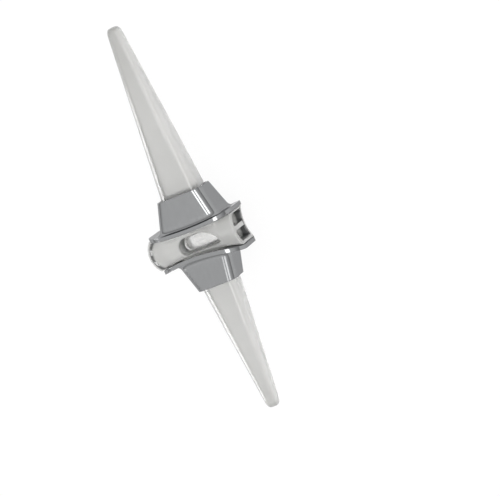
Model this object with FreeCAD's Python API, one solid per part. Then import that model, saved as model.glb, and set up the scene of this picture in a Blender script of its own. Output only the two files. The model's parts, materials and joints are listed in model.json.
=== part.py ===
"""Flexible finger joint implant with two metal grommets, lying on its lateral side.

Axes: Y runs along the stems, with the proximal stem towards +Y.
X runs from dorsal (-X) to volar (+X). Z runs up, from one lateral side to the other.
Everything is drawn about the hinge centre and then moved, so that the origin is the
middle of the whole outline on the surface that the implant lies on.
"""
import FreeCAD, Part
import math
import os

V = FreeCAD.Vector

# barrel, the thick middle of the moulding, which bends
barrel_wide = 5.8             # from one lateral side to the other
barrel_dorsal_reach = 7.95    # hinge centre to the top of the rounded dorsal end
barrel_dorsal_bulge = 0.85    # how far that end bulges past its own corners
barrel_dorsal_round = 1.6     # rounding of the dorsal end onto the lateral sides
barrel_volar_reach = 6.25     # hinge centre to the volar corners
barrel_volar_hollow = 0.5     # how deep the volar end is dished
barrel_edge_round = 0.2
barrel_trim = 1.0             # how much taller the barrel is before its ends are cut

# hinge centre to each flange, which bows towards the other one in the middle
half_gap_dorsal = 2.24
half_gap_middle = 1.72
half_gap_volar_proximal = 2.1
half_gap_volar_distal = 2.85

# stems of the moulding: thick is dorsal to volar, wide is side to side
stem_root_height = 1.2        # where the stems start, inside the barrel
proximal_reach = 31.7
proximal_root_thick = 6.85
proximal_root_wide = 5.75
proximal_tip_thick = 1.95
proximal_tip_wide = 1.6
distal_reach = 26.1
distal_root_thick = 6.1
distal_root_wide = 5.2
distal_tip_thick = 1.85
distal_tip_wide = 1.55
stem_round = 0.78             # along the corners and round the tip
root_flare = 0.75             # how far the stems spread out at the barrel, dorsal and volar
root_flare_tall = 2.4         # how far up the stems that spread reaches
root_flare_inset = 0.35       # how much narrower than the stem it is, on each lateral side

# blind D-shaped pocket in each lateral side of the barrel
side_pocket_depth = 2.5
side_pocket_dorsal = 2.78     # hinge centre to each end of the pocket
side_pocket_volar = 3.2
side_pocket_dorsal_drop = 0.3     # how far distal of the hinge centre its dorsal end is
side_pocket_proximal = 1.0    # hinge centre to its crest and to its straight edge
side_pocket_distal = 1.4
side_pocket_crest_dorsal = 1.43   # hinge centre to each end of the level crest
side_pocket_crest_volar = 0.05
side_pocket_straight = 1.9    # hinge centre to the dorsal end of the straight edge
side_pocket_slope = 1.2       # how far the volar arc has come in half way down
side_pocket_tip_round = 0.25

# two blind pockets in the volar end, with a bar between them
volar_pocket_depth = 2.1
volar_pocket_wide = 4.3
volar_pocket_wall = 0.35      # between a pocket and the barrel's bowed end
volar_pocket_round = 0.55
volar_bar = 0.75

# grommets, each pressed from one sheet
sleeve_sheet = 0.32
sleeve_height = 6.85          # hinge centre to the open rim
sleeve_fillet = 0.8           # where the sleeve turns out into the flange
sleeve_mouth_round = 0.9      # the same bend on the barrel's side of the sheet
flange_sheet = 0.55
flange_wide = 10.0
flange_corner = 3.0
proximal_flange_dorsal = 6.5
proximal_flange_volar = 6.4
distal_flange_dorsal = 6.3
distal_flange_volar = 6.25
proximal_flare = 15.0         # degrees, dorsal and volar walls of the sleeve
proximal_side_flare = 11.5    # degrees, its lateral walls
distal_flare = 12.5
distal_side_flare = 10.0

# clearances
stem_clearance = 0.15         # round the stem at the sleeve's rim
seat_clearance = 0.03         # between the barrel's ends and the flanges

TOUCH = 0.001                 # closer than this counts as touching
UPRIGHT = 0.7                 # an edge that climbs more steeply than this runs along the stems

# the volar end's own middle, distal of the hinge centre
VOLAR_MIDDLE = (half_gap_volar_proximal - half_gap_volar_distal) / 2


def arc(first, middle, last):
    return Part.Arc(first, middle, last).toShape()


def line(first, last):
    return Part.LineSegment(first, last).toShape()


def outline(edges):
    """Closed wire from edges that meet end to end, in any direction."""
    return Part.Wire(Part.__sortEdges__(edges))


def to_distal(shape):
    """The mirror image of a shape on the distal side of the hinge."""
    return shape.mirror(V(0, 0, 0), V(0, 1, 0))


def frustum(low, high):
    """Tapered block standing on the proximal side, from low to high, each (height, thick, wide)."""
    rings = []
    for height, thick, wide in (low, high):
        corners = ((1, 1), (-1, 1), (-1, -1), (1, -1))
        rings.append([V(sx * thick / 2, height, sz * wide / 2) for sx, sz in corners])
    loops = list(rings)
    for i in range(4):
        j = (i + 1) % 4
        loops.append([rings[0][i], rings[0][j], rings[1][j], rings[1][i]])
    faces = [Part.Face(Part.makePolygon(loop + [loop[0]])) for loop in loops]
    return Part.Solid(Part.Shell(faces))


def round_corners(block, radius, rounded_end=None):
    """Round a block's long edges, and with rounded_end the edges at that height too."""
    chosen = []
    for edge in block.Edges:
        lowest = min(v.Y for v in edge.Vertexes)
        at_end = rounded_end is not None and lowest > rounded_end - TOUCH
        if at_end or not lies_flat(edge):
            chosen.append(edge)
    return block.makeFillet(radius, chosen)


def middle_of(edge):
    return edge.valueAt((edge.FirstParameter + edge.LastParameter) / 2)


def distance(shape, point):
    return shape.distToShape(Part.Vertex(point))[0]


def lies_flat(edge):
    """True where an edge runs round the stems and not along them."""
    run = edge.tangentAt((edge.FirstParameter + edge.LastParameter) / 2)
    return abs(run.y) < UPRIGHT


class FlangeFace:
    """The bowed cylinder under a flange on the proximal side, seen from the side as an arc."""

    def __init__(self, dorsal_reach, volar_reach, half_gap_volar):
        self.dorsal = dorsal_reach
        self.volar = volar_reach
        low = V(-dorsal_reach, half_gap_dorsal, 0)
        middle = V(0, half_gap_middle, 0)
        high = V(volar_reach, half_gap_volar, 0)
        circle = arc(low, middle, high).Curve
        self.centre_x = circle.Center.x
        self.centre_y = circle.Center.y
        self.radius = circle.Radius

    def point(self, x, sink=0.0):
        """Point of the arc at x, sunk this far towards the hinge."""
        radius = self.radius + sink
        drop = math.sqrt(radius ** 2 - (x - self.centre_x) ** 2)
        return V(x, self.centre_y - drop, 0)

    def strip(self, first_x, last_x, sink=0.0):
        """Edge along the arc from first_x to last_x."""
        middle_x = (first_x + last_x) / 2
        return arc(self.point(first_x, sink), self.point(middle_x, sink), self.point(last_x, sink))

    def height(self, point):
        """How far a point stands above the bowed face, on the flange's side of it."""
        reach = math.hypot(point.x - self.centre_x, point.y - self.centre_y)
        return self.radius - reach

    def outer_side(self, sink=0.0):
        """Everything on the flange's side of the bowed face, sunk this far."""
        foot = V(self.centre_x, self.centre_y, -flange_wide)
        return Part.makeCylinder(self.radius + sink, 2 * flange_wide, foot)


def extrude_across(wire, width):
    """Solid from a side outline, as wide as given, centred between the lateral sides."""
    face = Part.Face(wire)
    face.translate(V(0, 0, -width / 2))
    return face.extrude(V(0, 0, width))


def stem_size(height, reach, root, tip):
    """Thickness and width of a stem at this height from the hinge centre."""
    share = (height - stem_root_height) / (reach - stem_root_height)
    return tuple(a + (b - a) * share for a, b in zip(root, tip))


def make_stem(reach, root, tip):
    """Tapered four-sided stem with a rounded tip. root and tip are (thick, wide)."""
    block = frustum((stem_root_height, *root), (reach, *tip))
    return round_corners(block, stem_round, reach)


def make_root(reach, root, tip):
    """Spread foot of a stem, thicker than the stem where it leaves the barrel."""
    bottom = stem_root_height
    top = half_gap_middle + root_flare_tall
    spread = 2 * root_flare * (top - bottom) / root_flare_tall
    low_thick, low_wide = stem_size(bottom, reach, root, tip)
    high_thick, high_wide = stem_size(top, reach, root, tip)
    inset = 2 * root_flare_inset
    block = frustum((bottom, low_thick + spread, low_wide - inset), (top, high_thick, high_wide - inset))
    return round_corners(block, stem_round)


def make_barrel(upper, lower):
    """Middle of the moulding: rounded dorsal end, dished volar end, bowed end faces."""
    # the blank is taller than the barrel, and the bowed faces then trim it
    blank_half = half_gap_volar_distal + barrel_trim
    # dorsal end: an arc through its own corners, run on straight past them
    corner_x = barrel_dorsal_bulge - barrel_dorsal_reach
    dorsal_radius = (half_gap_dorsal ** 2 + barrel_dorsal_bulge ** 2) / (2 * barrel_dorsal_bulge)
    lean = math.asin(half_gap_dorsal / dorsal_radius)
    past_x = corner_x + (blank_half - half_gap_dorsal) * math.tan(lean)
    # volar end: a shallow hollow arc, deepest half way between its corners
    half_chord = (half_gap_volar_proximal + half_gap_volar_distal) / 2
    volar_radius = (half_chord ** 2 + barrel_volar_hollow ** 2) / (2 * barrel_volar_hollow)
    hollow_x = barrel_volar_reach - barrel_volar_hollow

    def volar_end(y):
        from_middle = y - VOLAR_MIDDLE
        return V(hollow_x + volar_radius - math.sqrt(volar_radius ** 2 - from_middle ** 2), y, 0)

    dorsal_low = V(corner_x, -half_gap_dorsal, 0)
    dorsal_high = V(corner_x, half_gap_dorsal, 0)
    blank = extrude_across(outline([
        line(V(past_x, -blank_half, 0), dorsal_low),
        arc(dorsal_low, V(-barrel_dorsal_reach, 0, 0), dorsal_high),
        line(dorsal_high, V(past_x, blank_half, 0)),
        line(V(past_x, blank_half, 0), volar_end(blank_half)),
        arc(volar_end(blank_half), volar_end(VOLAR_MIDDLE), volar_end(-blank_half)),
        line(volar_end(-blank_half), V(past_x, -blank_half, 0)),
    ]), barrel_wide)

    def lateral_edges(low_x, high_x):
        return [e for e in blank.Edges
                if abs(abs(e.CenterOfMass.z) - barrel_wide / 2) < TOUCH
                and abs(e.CenterOfMass.y) < blank_half - TOUCH
                and low_x < e.CenterOfMass.x < high_x]

    blank = blank.makeFillet(barrel_dorsal_round, lateral_edges(-barrel_dorsal_reach, 0))
    blank = blank.makeFillet(barrel_edge_round, lateral_edges(0, 2 * barrel_volar_reach))
    blank = blank.cut(upper.outer_side(seat_clearance))
    return blank.cut(to_distal(lower.outer_side(seat_clearance)))


def side_pocket():
    """Blind D-shaped pocket in the upper lateral side, its straight edge to the distal end."""
    floor = barrel_wide / 2 - side_pocket_depth
    tip = side_pocket_tip_round
    bend = tip * (1 - math.sqrt(0.5))

    def at(x, y):
        return V(x, y, floor)

    straight_end = at(-side_pocket_straight, -side_pocket_distal)
    tip_low = at(side_pocket_volar - tip, -side_pocket_distal)
    tip_turn = at(side_pocket_volar - bend, bend - side_pocket_distal)
    tip_out = at(side_pocket_volar, tip - side_pocket_distal)
    slope = at(side_pocket_volar - side_pocket_slope, side_pocket_proximal / 2)
    crest_volar = at(side_pocket_crest_volar, side_pocket_proximal)
    crest_dorsal = at(-side_pocket_crest_dorsal, side_pocket_proximal)
    wire = outline([
        line(straight_end, tip_low),
        arc(tip_low, tip_turn, tip_out),
        arc(tip_out, slope, crest_volar),
        line(crest_volar, crest_dorsal),
        arc(crest_dorsal, at(-side_pocket_dorsal, -side_pocket_dorsal_drop), straight_end),
    ])
    return Part.Face(wire).extrude(V(0, 0, barrel_wide))


def volar_pocket(face, near):
    """Blind pocket in the volar end, from the bar at near to a thin wall along the bowed face."""
    floor_x = barrel_volar_reach - barrel_volar_hollow - volar_pocket_depth
    mouth_x = barrel_volar_reach + volar_pocket_depth
    sink = seat_clearance + volar_pocket_wall
    block = extrude_across(outline([
        line(V(floor_x, near, 0), face.point(floor_x, sink)),
        face.strip(floor_x, mouth_x, sink),
        line(face.point(mouth_x, sink), V(mouth_x, near, 0)),
        line(V(mouth_x, near, 0), V(floor_x, near, 0)),
    ]), volar_pocket_wide)
    corners = [e for e in block.Edges if isinstance(e.Curve, Part.Circle)]
    return block.makeFillet(volar_pocket_round, corners)


def make_implant(upper, lower):
    """The one-piece moulding."""
    implant = make_barrel(upper, lower)
    implant = implant.fuse([make_stem(*PROXIMAL_STEM), make_root(*PROXIMAL_STEM)])
    implant = implant.fuse([to_distal(make_stem(*DISTAL_STEM)), to_distal(make_root(*DISTAL_STEM))])
    pocket = side_pocket()
    implant = implant.cut([pocket, pocket.mirror(V(0, 0, 0), V(0, 0, 1))])
    upper_near = volar_bar / 2 + VOLAR_MIDDLE
    lower_near = volar_bar / 2 - VOLAR_MIDDLE
    implant = implant.cut([volar_pocket(upper, upper_near), to_distal(volar_pocket(lower, lower_near))])
    return implant.removeSplitter()


def sleeve_block(foot, rim, flare, side_flare, inset=0.0):
    """Solid flared block: the sleeve's outside, or its inside when inset by the sheet."""
    thick, wide = (size - 2 * inset for size in rim)
    fall = sleeve_height - foot
    foot_thick = thick + 2 * fall * math.tan(math.radians(flare))
    foot_wide = wide + 2 * fall * math.tan(math.radians(side_flare))
    block = frustum((foot, foot_thick, foot_wide), (sleeve_height, thick, wide))
    return round_corners(block, stem_round + stem_clearance + sleeve_sheet - inset)


def flange_outline(face):
    """The flange's plan: a rectangle with round corners, square to the stems."""
    low_x = -face.dorsal
    high_x = face.volar
    half = flange_wide / 2
    plate = Part.makeBox(high_x - low_x, sleeve_height, flange_wide, V(low_x, 0, -half))
    corners = [e for e in plate.Edges if not lies_flat(e)]
    return plate.makeFillet(flange_corner, corners)


def make_grommet(face, stem, flare, side_flare):
    """Flared sleeve round a stem and the bowed flange it turns out into, on the proximal side."""
    # flange: bowed sheet trimmed to its plan
    past = flange_corner
    inner = face.strip(-face.dorsal - past, face.volar + past)
    outer = face.strip(-face.dorsal - past, face.volar + past, -flange_sheet)
    ends = [line(inner.Vertexes[i].Point, outer.Vertexes[i].Point) for i in (0, 1)]
    sheet = extrude_across(outline([inner, outer, *ends]), 2 * flange_wide)
    flange = sheet.common(flange_outline(face))

    # sleeve: sized from the stem it goes round
    grow = 2 * (stem_clearance + sleeve_sheet)
    rim = tuple(size + grow for size in stem_size(sleeve_height, *stem))
    block = sleeve_block(half_gap_middle, rim, flare, side_flare)
    body = flange.fuse(block.common(face.outer_side(-flange_sheet / 2))).removeSplitter()
    seam = [e for e in body.Edges
            if lies_flat(e) and distance(block, middle_of(e)) < TOUCH
            and face.height(middle_of(e)) < flange_sheet + TOUCH]
    body = body.makeFillet(sleeve_fillet, seam)
    body = body.cut(sleeve_block(0.0, rim, flare, side_flare, sleeve_sheet))
    mouth = [e for e in body.Edges
             if abs(face.height(middle_of(e))) < TOUCH and distance(block, middle_of(e)) < sleeve_sheet]
    return body.makeFillet(sleeve_mouth_round, mouth)


def place(shape):
    """Move a shape from the hinge centre to the frame of the whole part."""
    middle_x = (proximal_flange_volar - barrel_dorsal_reach) / 2
    middle_y = (proximal_reach - distal_reach) / 2
    solid = shape.Solids[0].copy()
    solid.translate(V(-middle_x, -middle_y, flange_wide / 2))
    return solid


# each stem is its reach from the hinge centre, its root and its tip
PROXIMAL_STEM = (
    proximal_reach,
    (proximal_root_thick, proximal_root_wide),
    (proximal_tip_thick, proximal_tip_wide),
)
DISTAL_STEM = (
    distal_reach,
    (distal_root_thick, distal_root_wide),
    (distal_tip_thick, distal_tip_wide),
)

upper_face = FlangeFace(proximal_flange_dorsal, proximal_flange_volar, half_gap_volar_proximal)
lower_face = FlangeFace(distal_flange_dorsal, distal_flange_volar, half_gap_volar_distal)

nodes = {
    "silicone_implant": make_implant(upper_face, lower_face),
    "proximal_grommet": make_grommet(upper_face, PROXIMAL_STEM, proximal_flare, proximal_side_flare),
    "distal_grommet": to_distal(make_grommet(lower_face, DISTAL_STEM, distal_flare, distal_side_flare)),
}

os.makedirs("parts", exist_ok=True)
for name, shape in nodes.items():
    solid = place(shape)
    solid.exportStep("parts/" + name + ".step")
    box = solid.BoundBox
    print(name, "valid", solid.isValid(), "volume %.2f mm3" % solid.Volume,
          "size %.2f %.2f %.2f mm" % (box.XLength, box.YLength, box.ZLength))
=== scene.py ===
# %% [markdown]
# # A finger joint implant, lying on its side
#
# A finger joint implant replaces a worn knuckle. One silicone moulding has a thick barrel in
# the middle, which bends, and a tapered stem at each end, which slides into the hollow of a
# bone. Each stem wears a grommet: a flared sleeve of thin titanium that turns out into a bowed
# flange, so that the cut bone doesn't wear the silicone away.
#
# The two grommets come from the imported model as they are, and only get their metal. The
# silicone is made again here as a soft, smooth mesh, because clear rubber shows every facet.

import json
import math

import bmesh
import bpy
from mathutils import Matrix, Vector


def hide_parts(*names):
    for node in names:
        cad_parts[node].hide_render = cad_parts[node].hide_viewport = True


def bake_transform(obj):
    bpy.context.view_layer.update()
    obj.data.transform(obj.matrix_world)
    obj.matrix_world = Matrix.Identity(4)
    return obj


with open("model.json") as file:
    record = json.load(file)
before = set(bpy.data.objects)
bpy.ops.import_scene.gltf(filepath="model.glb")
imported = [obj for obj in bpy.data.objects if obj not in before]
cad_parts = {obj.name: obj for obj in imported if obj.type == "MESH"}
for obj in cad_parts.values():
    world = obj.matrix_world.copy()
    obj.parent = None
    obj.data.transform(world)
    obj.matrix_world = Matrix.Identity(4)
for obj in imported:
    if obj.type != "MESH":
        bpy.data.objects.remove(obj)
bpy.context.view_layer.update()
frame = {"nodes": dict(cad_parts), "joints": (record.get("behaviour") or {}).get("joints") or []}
print("pieces from the frame:", sorted(frame["nodes"]))

# %% [markdown]
# Everything is placed from the hinge, the line about which the barrel bends. It runs straight
# up, because the implant lies on one of its lateral sides. `at` turns a distance towards the
# volar side, a height along the stems (up the proximal one) and a distance up from the middle
# into a point of the scene. Sizes are written in millimetres and turned into metres once.

# %% Find the hinge
MM = 0.001
hinge = Vector(frame["joints"][0]["pos_m"])


def at(volar, height, lateral=0.0):
    return hinge + Vector((volar, height, lateral)) * MM


print("hinge in mm:", [round(v / MM, 3) for v in hinge])

# %% [markdown]
# ## The silicone
#
# A stem is a four-sided spike with soft corners that get tighter towards the tip. A subdivided
# cube could be pulled to that shape, but its corners would be guesses. A loft is exact: a ring
# of points is drawn at a few heights, each ring a rectangle with round corners, and the rings
# are joined with quads.

# %% A ring with round corners
CORNER_STEPS = 8


def ring(height, thick, wide, corner):
    """Points round the stem at this height, in order."""
    points = []
    for quarter, (volar, lateral) in enumerate(((1, 1), (-1, 1), (-1, -1), (1, -1))):
        middle = (volar * (thick / 2 - corner), lateral * (wide / 2 - corner))
        for step in range(CORNER_STEPS + 1):
            angle = math.radians(90 * quarter + 90 * step / CORNER_STEPS)
            points.append(at(middle[0] + corner * math.cos(angle), height,
                             middle[1] + corner * math.sin(angle)))
    return points


print("points in a ring:", len(ring(0, 4, 4, 1)))


# %% Join rings into a closed mesh
def loft(name, rings):
    mesh = bpy.data.meshes.new(name)
    build = bmesh.new()
    loops = [[build.verts.new(point) for point in points] for points in rings]
    count = len(loops[0])
    for low, high in zip(loops, loops[1:]):
        for i in range(count):
            j = (i + 1) % count
            build.faces.new((low[i], low[j], high[j], high[i]))
    build.faces.new(loops[0])
    build.faces.new(loops[-1])
    bmesh.ops.recalc_face_normals(build, faces=build.faces)
    build.to_mesh(mesh)
    build.free()
    made = bpy.data.objects.new(name, mesh)
    bpy.context.scene.collection.objects.link(made)
    return made


print("loft ready, with", CORNER_STEPS, "steps round each corner")

# %% [markdown]
# Just outside the barrel, inside the sleeve, a stem's root spreads out on a curve towards the
# dorsal and volar sides. The first ring lies just inside the barrel's end face, and no deeper:
# a stem that started further in would fill part of the barrel's side pockets.

# %% The two stems
STEM_START = 1.52             # height of the first ring, from the hinge
ROOT_HEIGHT = 1.2             # where the root sizes below are measured
ROOT_STEPS = 12               # steps from ring to ring in the root
ROOT_STEP = 0.2               # height of such a step
ROOT_FLARE = 0.75             # how far the root spreads, dorsal and volar
ROOT_FLARE_TOP = 4.0
ROOT_CORNER = 1.35
SHANK_STEPS = 24
TIP_CORNER = 0.62
TIP_DOME = 0.7                # the last stretch, which rounds over
DOME_STEPS = 8
DOME_SHARE = 0.98             # the last ring stays a little open
PROXIMAL_REACH, DISTAL_REACH = 31.7, 26.1
PROXIMAL_ROOT, PROXIMAL_TIP = (6.85, 5.75), (1.95, 1.6)     # thick, wide
DISTAL_ROOT, DISTAL_TIP = (6.1, 5.2), (1.85, 1.55)


def stem(name, way, reach, root, tip):
    """way is 1 for the proximal stem and -1 for the distal one."""
    shank = reach - TIP_DOME - ROOT_FLARE_TOP
    heights = [STEM_START + ROOT_STEP * i for i in range(ROOT_STEPS + 1)]
    heights += [ROOT_FLARE_TOP + shank * i / SHANK_STEPS for i in range(1, SHANK_STEPS + 1)]
    rings = []
    for height in heights:
        share = (height - ROOT_HEIGHT) / (reach - ROOT_HEIGHT)
        thick, wide = (a + (b - a) * share for a, b in zip(root, tip))
        corner = ROOT_CORNER + (TIP_CORNER - ROOT_CORNER) * share
        rise = max(0.0, ROOT_FLARE_TOP - height) / (ROOT_FLARE_TOP - ROOT_HEIGHT)
        thick += 2 * ROOT_FLARE * rise ** 2
        rings.append(ring(way * height, thick, wide, corner))
    for step in range(1, DOME_STEPS + 1):
        angle = math.radians(90 * step / DOME_STEPS)
        inset = TIP_CORNER * (1 - math.cos(angle)) * DOME_SHARE
        height = reach - TIP_DOME + TIP_DOME * math.sin(angle)
        rings.append(ring(way * height, tip[0] - 2 * inset, tip[1] - 2 * inset, TIP_CORNER - inset))
    return loft(name, rings)


proximal_stem = stem("proximal_stem", 1, PROXIMAL_REACH, PROXIMAL_ROOT, PROXIMAL_TIP)
distal_stem = stem("distal_stem", -1, DISTAL_REACH, DISTAL_ROOT, DISTAL_TIP)
print("stem points:", len(proximal_stem.data.vertices), len(distal_stem.data.vertices))

# %% [markdown]
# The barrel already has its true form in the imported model: bull-nosed towards the back of the
# finger, dished towards the palm, with a D-shaped pocket in each side and two pockets in the
# dished end. So it is cut out of a copy of that model with a slab that ends just inside the
# bowed end faces. Then the barrel and the stems become one skin. A boolean would leave long thin
# triangles that show in clear rubber, so a voxel remesh does it: it lays a fine grid over all
# three and grows one even skin of small quads. A little smoothing then takes the last sharpness
# off the edges, as a mould's polished edges do.

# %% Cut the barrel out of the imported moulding
PROXIMAL_BOW = (-6.5, 2.24), (0.0, 1.72), (6.4, 2.1)     # an end face: volar, height
DISTAL_BOW = (-6.3, -2.24), (0.0, -1.72), (6.25, -2.85)
SHORT = 0.05                                             # the slab stops this far inside it
SLAB_START = -9                                          # dorsal end of the slab
SLAB_STEPS = 70
SLAB_STEP = 0.25
SLAB_LATERAL = 4                                         # wider than the barrel


def bow_height(bow, volar):
    """Height of one of the barrel's bowed end faces, from a parabola through three points."""
    total = 0.0
    for x, y in bow:
        part = y
        for other, _ in bow:
            if other != x:
                part *= (volar - other) / (x - other)
        total += part
    return total


def barrel_slab():
    """A slab between the two bowed end faces, larger than the barrel all round."""
    stops = [SLAB_START + SLAB_STEP * i for i in range(SLAB_STEPS + 1)]
    outline = [(x, bow_height(PROXIMAL_BOW, x) - SHORT) for x in stops]
    outline += [(x, bow_height(DISTAL_BOW, x) + SHORT) for x in reversed(stops)]
    rings = [[at(x, y, side) for x, y in outline] for side in (-SLAB_LATERAL, SLAB_LATERAL)]
    return loft("barrel_slab", rings)


def apply_modifiers(piece):
    bpy.context.view_layer.update()
    made = piece.evaluated_get(bpy.context.evaluated_depsgraph_get())
    mesh = bpy.data.meshes.new_from_object(made)
    piece.modifiers.clear()
    piece.data = mesh


barrel = frame["nodes"]["silicone_implant"].copy()
barrel.data = barrel.data.copy()
barrel.parent = None
for key in list(barrel.keys()):
    del barrel[key]
bpy.context.scene.collection.objects.link(barrel)
slab = barrel_slab()
cut = barrel.modifiers.new("slab", "BOOLEAN")
cut.operation = "INTERSECT"
cut.solver = "EXACT"
cut.object = slab
apply_modifiers(barrel)
bpy.data.objects.remove(slab)
print("barrel faces:", len(barrel.data.polygons), "size in mm:",
      [round(v / MM, 2) for v in barrel.dimensions])

# %% Grow one skin over the barrel and both stems
VOXEL = 0.12
SMOOTH_ROUNDS = 6


def one_skin(name, parts):
    build = bmesh.new()
    for part in parts:
        build.from_mesh(part.data)
        bpy.data.objects.remove(part)
    mesh = bpy.data.meshes.new(name)
    build.to_mesh(mesh)
    build.free()
    made = bpy.data.objects.new(name, mesh)
    bpy.context.scene.collection.objects.link(made)
    remesh = made.modifiers.new("skin", "REMESH")
    remesh.mode = "VOXEL"
    remesh.voxel_size = VOXEL * MM
    remesh.use_smooth_shade = True
    smooth = made.modifiers.new("polish", "SMOOTH")
    smooth.factor = 0.5
    smooth.iterations = SMOOTH_ROUNDS
    apply_modifiers(made)
    return made


silicone = one_skin("silicone_moulding", [barrel, proximal_stem, distal_stem])
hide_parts("silicone_implant")
low, high = (Vector([pick(v.co[i] for v in silicone.data.vertices) for i in range(3)])
             for pick in (min, max))
print("skin faces:", len(silicone.data.polygons),
      "size in mm:", [round(v / MM, 2) for v in high - low])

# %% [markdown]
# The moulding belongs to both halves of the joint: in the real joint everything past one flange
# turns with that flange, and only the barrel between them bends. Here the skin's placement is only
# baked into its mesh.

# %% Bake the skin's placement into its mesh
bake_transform(silicone)

# %% [markdown]
# ## Finishes
#
# Every finish is built from a few kinds of node, so there is a short function for each: a Map
# Range node that turns one stretch of a value into another, a Math node, a Mix node, and an
# Ambient Occlusion node, which finds creases and pockets.

# %% Nodes used again and again
def new_material(name):
    material = bpy.data.materials.new(name)
    material.use_nodes = True
    nodes = material.node_tree.nodes
    return material, nodes, material.node_tree.links, nodes["Principled BSDF"]


def map_range(nodes, links, source, from_low, from_high, to_low, to_high):
    """A Map Range node fed from a socket; gives its output socket."""
    node = nodes.new("ShaderNodeMapRange")
    for name, value in (("From Min", from_low), ("From Max", from_high),
                        ("To Min", to_low), ("To Max", to_high)):
        node.inputs[name].default_value = value
    links.new(source, node.inputs["Value"])
    return node.outputs["Result"]


def maths(nodes, links, operation, first, second=None):
    """A Math node fed from one or two sockets; gives its output socket."""
    node = nodes.new("ShaderNodeMath")
    node.operation = operation
    links.new(first, node.inputs[0])
    if second is not None:
        links.new(second, node.inputs[1])
    return node.outputs["Value"]


def blend_tone(nodes, links, share, under, over):
    """Mixes two tones, each a colour or a socket; gives the output socket."""
    node = nodes.new("ShaderNodeMix")
    node.data_type = "RGBA"
    for name, tone in (("A", under), ("B", over)):
        if isinstance(tone, tuple):
            node.inputs[name].default_value = tone
        else:
            links.new(tone, node.inputs[name])
    links.new(share, node.inputs["Factor"])
    return node.outputs["Result"]


def openness(nodes, reach):
    """How open the surface is to the room within this reach in mm, from 0 to 1."""
    node = nodes.new("ShaderNodeAmbientOcclusion")
    node.samples = 8
    node.inputs["Distance"].default_value = reach * MM
    return node.outputs["AO"]


print("node helpers ready")

# %% [markdown]
# Medical silicone is a milky, smoky grey rubber, clear enough to let the light of the table
# through and cloudy enough to blur whatever lies behind it. One Principled shader does both: most
# of it transmits, through a rough inside, and the rest scatters just under the skin. The index of
# refraction is that of silicone, 1.41. A thin clear coat gives the crisp shine of a moulded
# surface, which the rough inside can't. Absorption inside the rubber makes thick parts darker.
#
# A moulding isn't one even tone, though. So the tone changes with the place and with the way that
# the surface faces: the barrel is cloudier than the stems, and their thin ends are a little darker.
# Their volar side is painted lighter, a painted light on the side that faces the volar lamps. The
# web, which is what is left between the two side pockets, is the clearest part of all and shows
# the white table. The wall of a pocket that faces the volar end is painted dark, as is the inside
# of the two mouths at the volar end: painted shade, seen only from the air. From inside the rubber
# they stay clear, so that they don't darken the barrel in front of them. A thin line along the
# edge of the bull nose is painted dark too, a painted shade. Each part fades into the next between
# the two values that its name holds.

# %% Tones of the silicone
SILICONE_COLOUR = (0.66, 0.66, 0.648, 1)
TIP_COLOUR = (0.52, 0.52, 0.505, 1)
# painted light on the stems' volar side
VOLAR_PAINTED_LIGHT = (0.92, 0.92, 0.905, 1)
BARREL_COLOUR = (0.65, 0.65, 0.636, 1)
WEB_COLOUR = (0.97, 0.97, 0.96, 1)
# painted shade: a dark line along the edge of the bull nose
NOSE_EDGE_PAINTED_SHADE = (0.08, 0.08, 0.08, 1)
# painted shade in the pockets' walls that face the volar end and inside the volar mouths
POCKET_PAINTED_SHADE = (0.04, 0.042, 0.043, 1)
SMOKE_COLOUR = (0.60, 0.60, 0.58, 1)
SMOKE_DENSITY = 85
SKIN_DEPTH = 0.5                # mm that light wanders under the skin
SOFT_EDGE = 0.2                 # radius of the mould's edges, in mm

# where each part fades, in mm from the hinge
BARREL_FADE = (2.2, 3.4)        # along the stems, both ways
TIP_FADE = (17, 31)
POCKET_HALF_TALL = (1.45, 1.65)
POCKET_VOLAR_END = (3.3, 3.7)   # towards the volar side
POCKET_UPPER = (-0.2, 0.2)      # up through the sides: the wall is dark above this
MOUTH_START = (4.75, 5.05)      # towards the volar side
MOUTH_LOW = (-2.35, -2.2)       # along the stems
MOUTH_HIGH = (1.7, 1.85)
MOUTH_HALF_WIDE = (2.2, 2.35)   # through the sides, both ways
MOUTH_RIM = (-2, -1.6)          # above this, what faces the volar side stays light
NOSE_END = (-5.2, -4.8)         # towards the dorsal side

# where each part fades by the way it faces: parts of a length of 1
FACES_VOLAR = (0.3, 0.8)
FACES_SIDE = (0.7, 0.95)
NOSE_EDGE_IN = (0.72, 0.84)
NOSE_EDGE_OUT = (0.93, 0.99)

POCKET_REACH = 2.5              # how far round a point walls are looked for, in mm
DEEP = (0.35, 0.85)             # openness, from deep in a pocket to outside it

STEM_CLEAR, BARREL_CLEAR, WEB_CLEAR = 0.8, 0.5, 0.92
INSIDE_ROUGH = (0.28, 0.34)
BARREL_ROUGHER = 0.2
WEB_ROUGHER = -0.16
print("the barrel's tone fades into the stems' between", *BARREL_FADE, "mm from the hinge")


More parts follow.
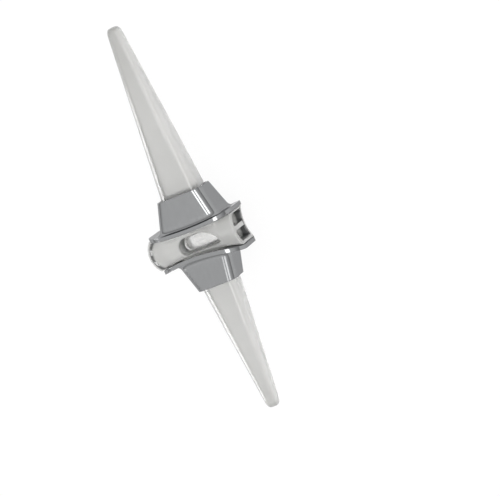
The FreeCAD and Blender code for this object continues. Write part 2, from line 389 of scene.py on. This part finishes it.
# %% Milky grey silicone
def silicone_material():
    material, nodes, links, shader = new_material("milky_silicone")
    for name, value in (("IOR", 1.41), ("Subsurface Weight", 1.0), ("Subsurface Radius", (1, 1, 1)),
                        ("Subsurface Scale", SKIN_DEPTH * MM), ("Coat Weight", 1.0),
                        ("Coat IOR", 1.5), ("Coat Roughness", 0.04)):
        shader.inputs[name].default_value = value

    def ramp(source, from_low, from_high, to_low=0, to_high=1):
        return map_range(nodes, links, source, from_low, from_high, to_low, to_high)

    def both(first, second):
        return maths(nodes, links, "MULTIPLY", first, second)

    def size_of(source):
        return maths(nodes, links, "ABSOLUTE", source)

    # where the point is, in mm from the hinge
    place = nodes.new("ShaderNodeTexCoord")
    from_hinge = nodes.new("ShaderNodeVectorMath")
    from_hinge.operation = "SUBTRACT"
    from_hinge.inputs[1].default_value = hinge
    links.new(place.outputs["Object"], from_hinge.inputs[0])
    in_mm = nodes.new("ShaderNodeVectorMath")
    in_mm.operation = "SCALE"
    in_mm.inputs["Scale"].default_value = 1 / MM
    links.new(from_hinge.outputs["Vector"], in_mm.inputs[0])
    where = nodes.new("ShaderNodeSeparateXYZ")
    links.new(in_mm.outputs["Vector"], where.inputs["Vector"])
    volar, height, lateral = (where.outputs[axis] for axis in "XYZ")
    along = size_of(height)

    # which way it faces, how deep it lies and from which side it is seen
    facing = nodes.new("ShaderNodeSeparateXYZ")
    links.new(place.outputs["Normal"], facing.inputs["Vector"])
    faces_up = facing.outputs["Z"]
    faces_volar = ramp(facing.outputs["X"], *FACES_VOLAR)
    faces_side = ramp(size_of(faces_up), *FACES_SIDE)
    deep = ramp(openness(nodes, POCKET_REACH), *DEEP, 1, 0)
    from_air = ramp(nodes.new("ShaderNodeNewGeometry").outputs["Backfacing"], 0, 1, 1, 0)

    # the parts
    barrel_part = ramp(along, *BARREL_FADE, 1, 0)
    thin_end = ramp(along, *TIP_FADE)
    # painted light on the side that faces the volar lamps, seen only from the air
    volar_painted_light = both(both(faces_volar, ramp(barrel_part, 0, 1, 1, 0)), from_air)
    in_pocket = both(ramp(volar, *POCKET_VOLAR_END, 1, 0), ramp(along, *POCKET_HALF_TALL, 1, 0))
    web = both(both(faces_side, deep), in_pocket)
    # painted shade on the deep pocket wall that faces the volar end
    wall_painted_shade = both(both(both(faces_volar, deep), in_pocket), ramp(lateral, *POCKET_UPPER))
    mouth_height = both(ramp(height, *MOUTH_LOW), ramp(height, *MOUTH_HIGH, 1, 0))
    mouth_width = ramp(size_of(lateral), *MOUTH_HALF_WIDE, 1, 0)
    in_mouth = both(both(ramp(volar, *MOUTH_START), mouth_height), mouth_width)
    near_rim = both(faces_volar, ramp(lateral, *MOUTH_RIM))
    # painted shade inside the volar mouths, away from their near rims
    mouth_painted_shade = both(in_mouth, ramp(near_rim, 0, 1, 1, 0))
    # all the painted shade of pockets and mouths, seen only from the air
    dark = both(from_air, maths(nodes, links, "MAXIMUM", wall_painted_shade, mouth_painted_shade))
    # painted shade: a dark line along the bull nose's edge at the barrel's dorsal end
    on_edge = both(ramp(faces_up, *NOSE_EDGE_IN), ramp(faces_up, *NOSE_EDGE_OUT, 1, 0))
    nose_edge_painted_shade = both(on_edge, both(ramp(volar, *NOSE_END, 1, 0), barrel_part))

    tone = SILICONE_COLOUR
    for share, colour in ((barrel_part, BARREL_COLOUR), (thin_end, TIP_COLOUR),
                          (volar_painted_light, VOLAR_PAINTED_LIGHT), (web, WEB_COLOUR),
                          (nose_edge_painted_shade, NOSE_EDGE_PAINTED_SHADE), (dark, POCKET_PAINTED_SHADE)):
        tone = blend_tone(nodes, links, share, tone, colour)
    links.new(tone, shader.inputs["Base Color"])

    # the barrel is cloudier and rougher inside than the stems, and its web is the clearest part
    cloudy = both(barrel_part, ramp(web, 0, 1, 1, 0))
    clear = maths(nodes, links, "MAXIMUM", ramp(cloudy, 0, 1, STEM_CLEAR, BARREL_CLEAR),
                  ramp(web, 0, 1, 0, WEB_CLEAR))
    links.new(clear, shader.inputs["Transmission Weight"])
    noise = nodes.new("ShaderNodeTexNoise")
    noise.inputs["Scale"].default_value = 300
    noise.inputs["Detail"].default_value = 3
    links.new(place.outputs["Object"], noise.inputs["Vector"])
    rough = ramp(noise.outputs["Fac"], 0, 1, *INSIDE_ROUGH)
    for part, more in ((cloudy, BARREL_ROUGHER), (web, WEB_ROUGHER)):
        rough = maths(nodes, links, "ADD", rough, ramp(part, 0, 1, 0, more))
    links.new(rough, shader.inputs["Roughness"])

    # the mould's edges are soft
    edge = nodes.new("ShaderNodeBevel")
    edge.samples = 8
    edge.inputs["Radius"].default_value = SOFT_EDGE * MM
    for name in ("Normal", "Coat Normal"):
        links.new(edge.outputs["Normal"], shader.inputs[name])

    smoke = nodes.new("ShaderNodeVolumeAbsorption")
    smoke.inputs["Color"].default_value = SMOKE_COLOUR
    smoke.inputs["Density"].default_value = SMOKE_DENSITY
    links.new(smoke.outputs["Volume"], nodes["Material Output"].inputs["Volume"])
    return material


silicone.data.materials.clear()
silicone.data.materials.append(silicone_material())
print("silicone:", silicone.data.materials[0].name)

# %% [markdown]
# The grommets are pressed from titanium sheet and tumbled to a satin finish. Metal has no colour
# of its own apart from its reflection, so the shader is fully metallic with a middle grey, and
# the brushing is a noise stretched along the sleeve that wanders in tone, in roughness and, very
# slightly, in height. The creases are rougher, as the tumbling stones don't reach into them, and
# are painted paler: a painted light that lifts their dark reflections.

# %% Satin titanium
TITANIUM_LIGHT = (0.335, 0.34, 0.345, 1)
TITANIUM_DARK = (0.305, 0.31, 0.315, 1)
TITANIUM_RIM = (0.60, 0.60, 0.605, 1)     # the tint at a grazing angle
# painted light: the creases are paler, to lift their dark reflections
CREASE_PAINTED_LIGHT = (0.40, 0.405, 0.41, 1)
CREASE_REACH = 2.0
CREASE = (0.4, 0.85)                      # openness, from deep in a crease to outside it
BRUSHED_ROUGH = (0.10, 0.16)
CREASE_ROUGHER = 0.3
GRAIN_STRETCH = (900, 120, 900)
GRAIN_DEPTH = 0.02                        # mm
SHEET_EDGE = 0.12                         # mm


def titanium_material():
    material, nodes, links, shader = new_material("satin_titanium")
    shader.inputs["Metallic"].default_value = 1.0
    shader.inputs["Specular Tint"].default_value = TITANIUM_RIM
    place = nodes.new("ShaderNodeTexCoord")
    stretch = nodes.new("ShaderNodeMapping")
    stretch.inputs["Scale"].default_value = GRAIN_STRETCH
    links.new(place.outputs["Object"], stretch.inputs["Vector"])
    noise = nodes.new("ShaderNodeTexNoise")
    noise.inputs["Scale"].default_value = 4
    noise.inputs["Detail"].default_value = 6
    links.new(stretch.outputs["Vector"], noise.inputs["Vector"])
    grain = noise.outputs["Fac"]

    crease = map_range(nodes, links, openness(nodes, CREASE_REACH), *CREASE, 1, 0)
    tone = blend_tone(nodes, links, grain, TITANIUM_DARK, TITANIUM_LIGHT)
    # painted light in the creases; the same crease mask also makes them rougher below
    tone = blend_tone(nodes, links, crease, tone, CREASE_PAINTED_LIGHT)
    links.new(tone, shader.inputs["Base Color"])
    brushed = map_range(nodes, links, grain, 0, 1, *BRUSHED_ROUGH)
    dull = map_range(nodes, links, crease, 0, 1, 0, CREASE_ROUGHER)
    links.new(maths(nodes, links, "ADD", brushed, dull), shader.inputs["Roughness"])

    # tumbling rounds the sheet's edges a little
    edge = nodes.new("ShaderNodeBevel")
    edge.samples = 6
    edge.inputs["Radius"].default_value = SHEET_EDGE * MM
    bump = nodes.new("ShaderNodeBump")
    bump.inputs["Strength"].default_value = 0.02
    bump.inputs["Distance"].default_value = GRAIN_DEPTH * MM
    links.new(grain, bump.inputs["Height"])
    links.new(edge.outputs["Normal"], bump.inputs["Normal"])
    links.new(bump.outputs["Normal"], shader.inputs["Normal"])
    return material


titanium = titanium_material()
for name in ("proximal_grommet", "distal_grommet"):
    grommet = frame["nodes"][name]
    grommet.data.materials.clear()
    grommet.data.materials.append(titanium)
print("grommets:", titanium.name)

# %% [markdown]
# ## The studio
#
# The implant lies on a white table. The table is white to the eye and to anything seen through
# the rubber or mirrored in the metal, which is what the Light Path node asks for, and the rest of
# it is plain matt white that takes the object's own soft shadow.

# %% White table
TABLE_HALF = 300
TABLE_COLOUR = (0.9, 0.9, 0.9, 1)
TABLE_WHITE = 0.92            # share of plain white where the table is seen


def table_material():
    material, nodes, links, shader = new_material("white_table")
    shader.inputs["Base Color"].default_value = TABLE_COLOUR
    shader.inputs["Roughness"].default_value = 0.8
    white = nodes.new("ShaderNodeEmission")
    white.inputs["Strength"].default_value = 1.0
    path = nodes.new("ShaderNodeLightPath")
    seen = path.outputs["Is Camera Ray"]
    for kind in ("Is Glossy Ray", "Is Transmission Ray"):
        seen = maths(nodes, links, "MAXIMUM", seen, path.outputs[kind])
    mix = nodes.new("ShaderNodeMixShader")
    links.new(map_range(nodes, links, seen, 0, 1, 0, TABLE_WHITE), mix.inputs["Fac"])
    links.new(shader.outputs["BSDF"], mix.inputs[1])
    links.new(white.outputs["Emission"], mix.inputs[2])
    links.new(mix.outputs["Shader"], nodes["Material Output"].inputs["Surface"])
    return material


def make_table():
    mesh = bpy.data.meshes.new("table")
    centre = Vector((hinge.x, hinge.y, 0))
    corners = [centre + Vector((x, y, 0)) * TABLE_HALF * MM
               for x, y in ((-1, -1), (1, -1), (1, 1), (-1, 1))]
    mesh.from_pydata([tuple(c) for c in corners], [], [(0, 1, 2, 3)])
    made = bpy.data.objects.new("table", mesh)
    made.data.materials.append(table_material())
    bpy.context.scene.collection.objects.link(made)
    return made


table = make_table()
print("table:", 2 * TABLE_HALF, "mm square")

# %% [markdown]
# Polished metal and rubber show the room itself. So the room is drawn as a white ceiling that
# fades evenly into a grey horizon: the flat sides of the sleeves then mirror one even tone, and
# every bend in the sheet is drawn in darker and lighter lines. The height of the view direction
# above the horizon drives the fade.

# %% Room light
HORIZON = 0.42
CEILING = 0.95
CEILING_FROM = 0.75           # sine of the height above the horizon

world = bpy.data.worlds.new("room")
bpy.context.scene.world = world
world.use_nodes = True
nodes = world.node_tree.nodes
links = world.node_tree.links
direction = nodes.new("ShaderNodeTexCoord")
split = nodes.new("ShaderNodeSeparateXYZ")
links.new(direction.outputs["Generated"], split.inputs["Vector"])
fade = map_range(nodes, links, split.outputs["Z"], 0, CEILING_FROM, HORIZON, CEILING)
fade.node.interpolation_type = "SMOOTHSTEP"
room = nodes["Background"]
room.inputs["Color"].default_value = (1.0, 1.0, 1.0, 1)
links.new(fade, room.inputs["Strength"])
print("room: ceiling", CEILING, "horizon", HORIZON)

# %% [markdown]
# The lamps are long strips that run along the stems, because a strip along an edge draws one
# clean line down it. A strip is placed by its angle from straight overhead, positive to the
# volar side. Two hang over the volar side, a wide one and a narrow one, and give the pair of
# white lines down the sleeves' corners. Towards the distal end each is followed by a second,
# dimmer strip. The last two stand low on the dorsal side and are short, so that the stems' dorsal
# corners catch them and the flared sleeves and the flanges don't.

# %% Strip lamps
LAMP_DISTANCE = 260


def strip(name, angles, heights, brightness):
    """A lamp from one angle to another in degrees and one height to another in mm."""
    first, last = (math.radians(a) for a in angles)
    middle = (first + last) / 2
    wide = 2 * LAMP_DISTANCE * math.tan((last - first) / 2)
    tall = heights[1] - heights[0]
    data = bpy.data.lights.new(name, "AREA")
    data.shape = "RECTANGLE"
    data.size = wide * MM
    data.size_y = tall * MM
    data.energy = brightness * math.pi * (wide * MM) * (tall * MM)
    lamp = bpy.data.objects.new(name, data)
    height = (heights[0] + heights[1]) / 2
    lamp.location = at(LAMP_DISTANCE * math.sin(middle), height, LAMP_DISTANCE * math.cos(middle))
    lamp.rotation_euler = (0, middle, 0)
    bpy.context.scene.collection.objects.link(lamp)
    return lamp


strip("wide_volar_strip", (13, 33), (-98, 150), 3.6)
strip("narrow_volar_strip", (-13, -2), (40, 150), 3.2)
strip("wide_volar_strip_distal", (13, 33), (-200, -98), 1.5)
strip("narrow_volar_strip_distal", (-13, -2), (-200, -98), 1.3)
strip("dorsal_strip_proximal", (-85, -52), (0, 50), 7)
strip("dorsal_strip_distal", (-85, -52), (-110, -60), 8)

# %% [markdown]
# ## The camera
#
# The camera looks down at the lateral side, turned a little towards the volar end so that its two
# pockets show, and a little from the proximal end. It is also rolled, so that the proximal stem
# points up and left. A long lens from nearly 0.3 m away keeps both stems nearly true.

# %% Camera
TURN = math.radians(18.7)     # round the stems, towards the volar side
RISE = math.radians(6.1)      # towards the proximal end
ROLL = math.radians(23.1)
DISTANCE = 290
SCALE = 0.14                  # mm for each pixel at the hinge
IMAGE_WIDE = 500
IMAGE_TALL = 496
HINGE_PIXEL = (202.2, 237.0)
SENSOR = 36

right = Vector((math.cos(TURN), 0, -math.sin(TURN)))
back = Vector((math.sin(TURN) * math.cos(RISE), math.sin(RISE), math.cos(TURN) * math.cos(RISE)))
up = back.cross(right)
rolled_right = math.cos(ROLL) * right - math.sin(ROLL) * up
rolled_up = math.sin(ROLL) * right + math.cos(ROLL) * up
aim = (hinge + rolled_right * (IMAGE_WIDE / 2 - HINGE_PIXEL[0]) * SCALE * MM
       - rolled_up * (IMAGE_TALL / 2 - HINGE_PIXEL[1]) * SCALE * MM)
stand = aim + back * DISTANCE * MM

camera_data = bpy.data.cameras.new("camera")
camera_data.sensor_width = SENSOR
camera_data.lens = DISTANCE / (SCALE * IMAGE_WIDE) * SENSOR
camera_data.clip_start = 0.01
camera_data.clip_end = 10
camera = bpy.data.objects.new("camera", camera_data)
turned = Matrix((rolled_right, rolled_up, back)).transposed()
camera.matrix_world = Matrix.Translation(stand) @ turned.to_4x4()
bpy.context.scene.collection.objects.link(camera)
bpy.context.scene.camera = camera
bpy.context.scene.view_settings.view_transform = "Standard"
print("lens in mm:", round(camera_data.lens, 1))
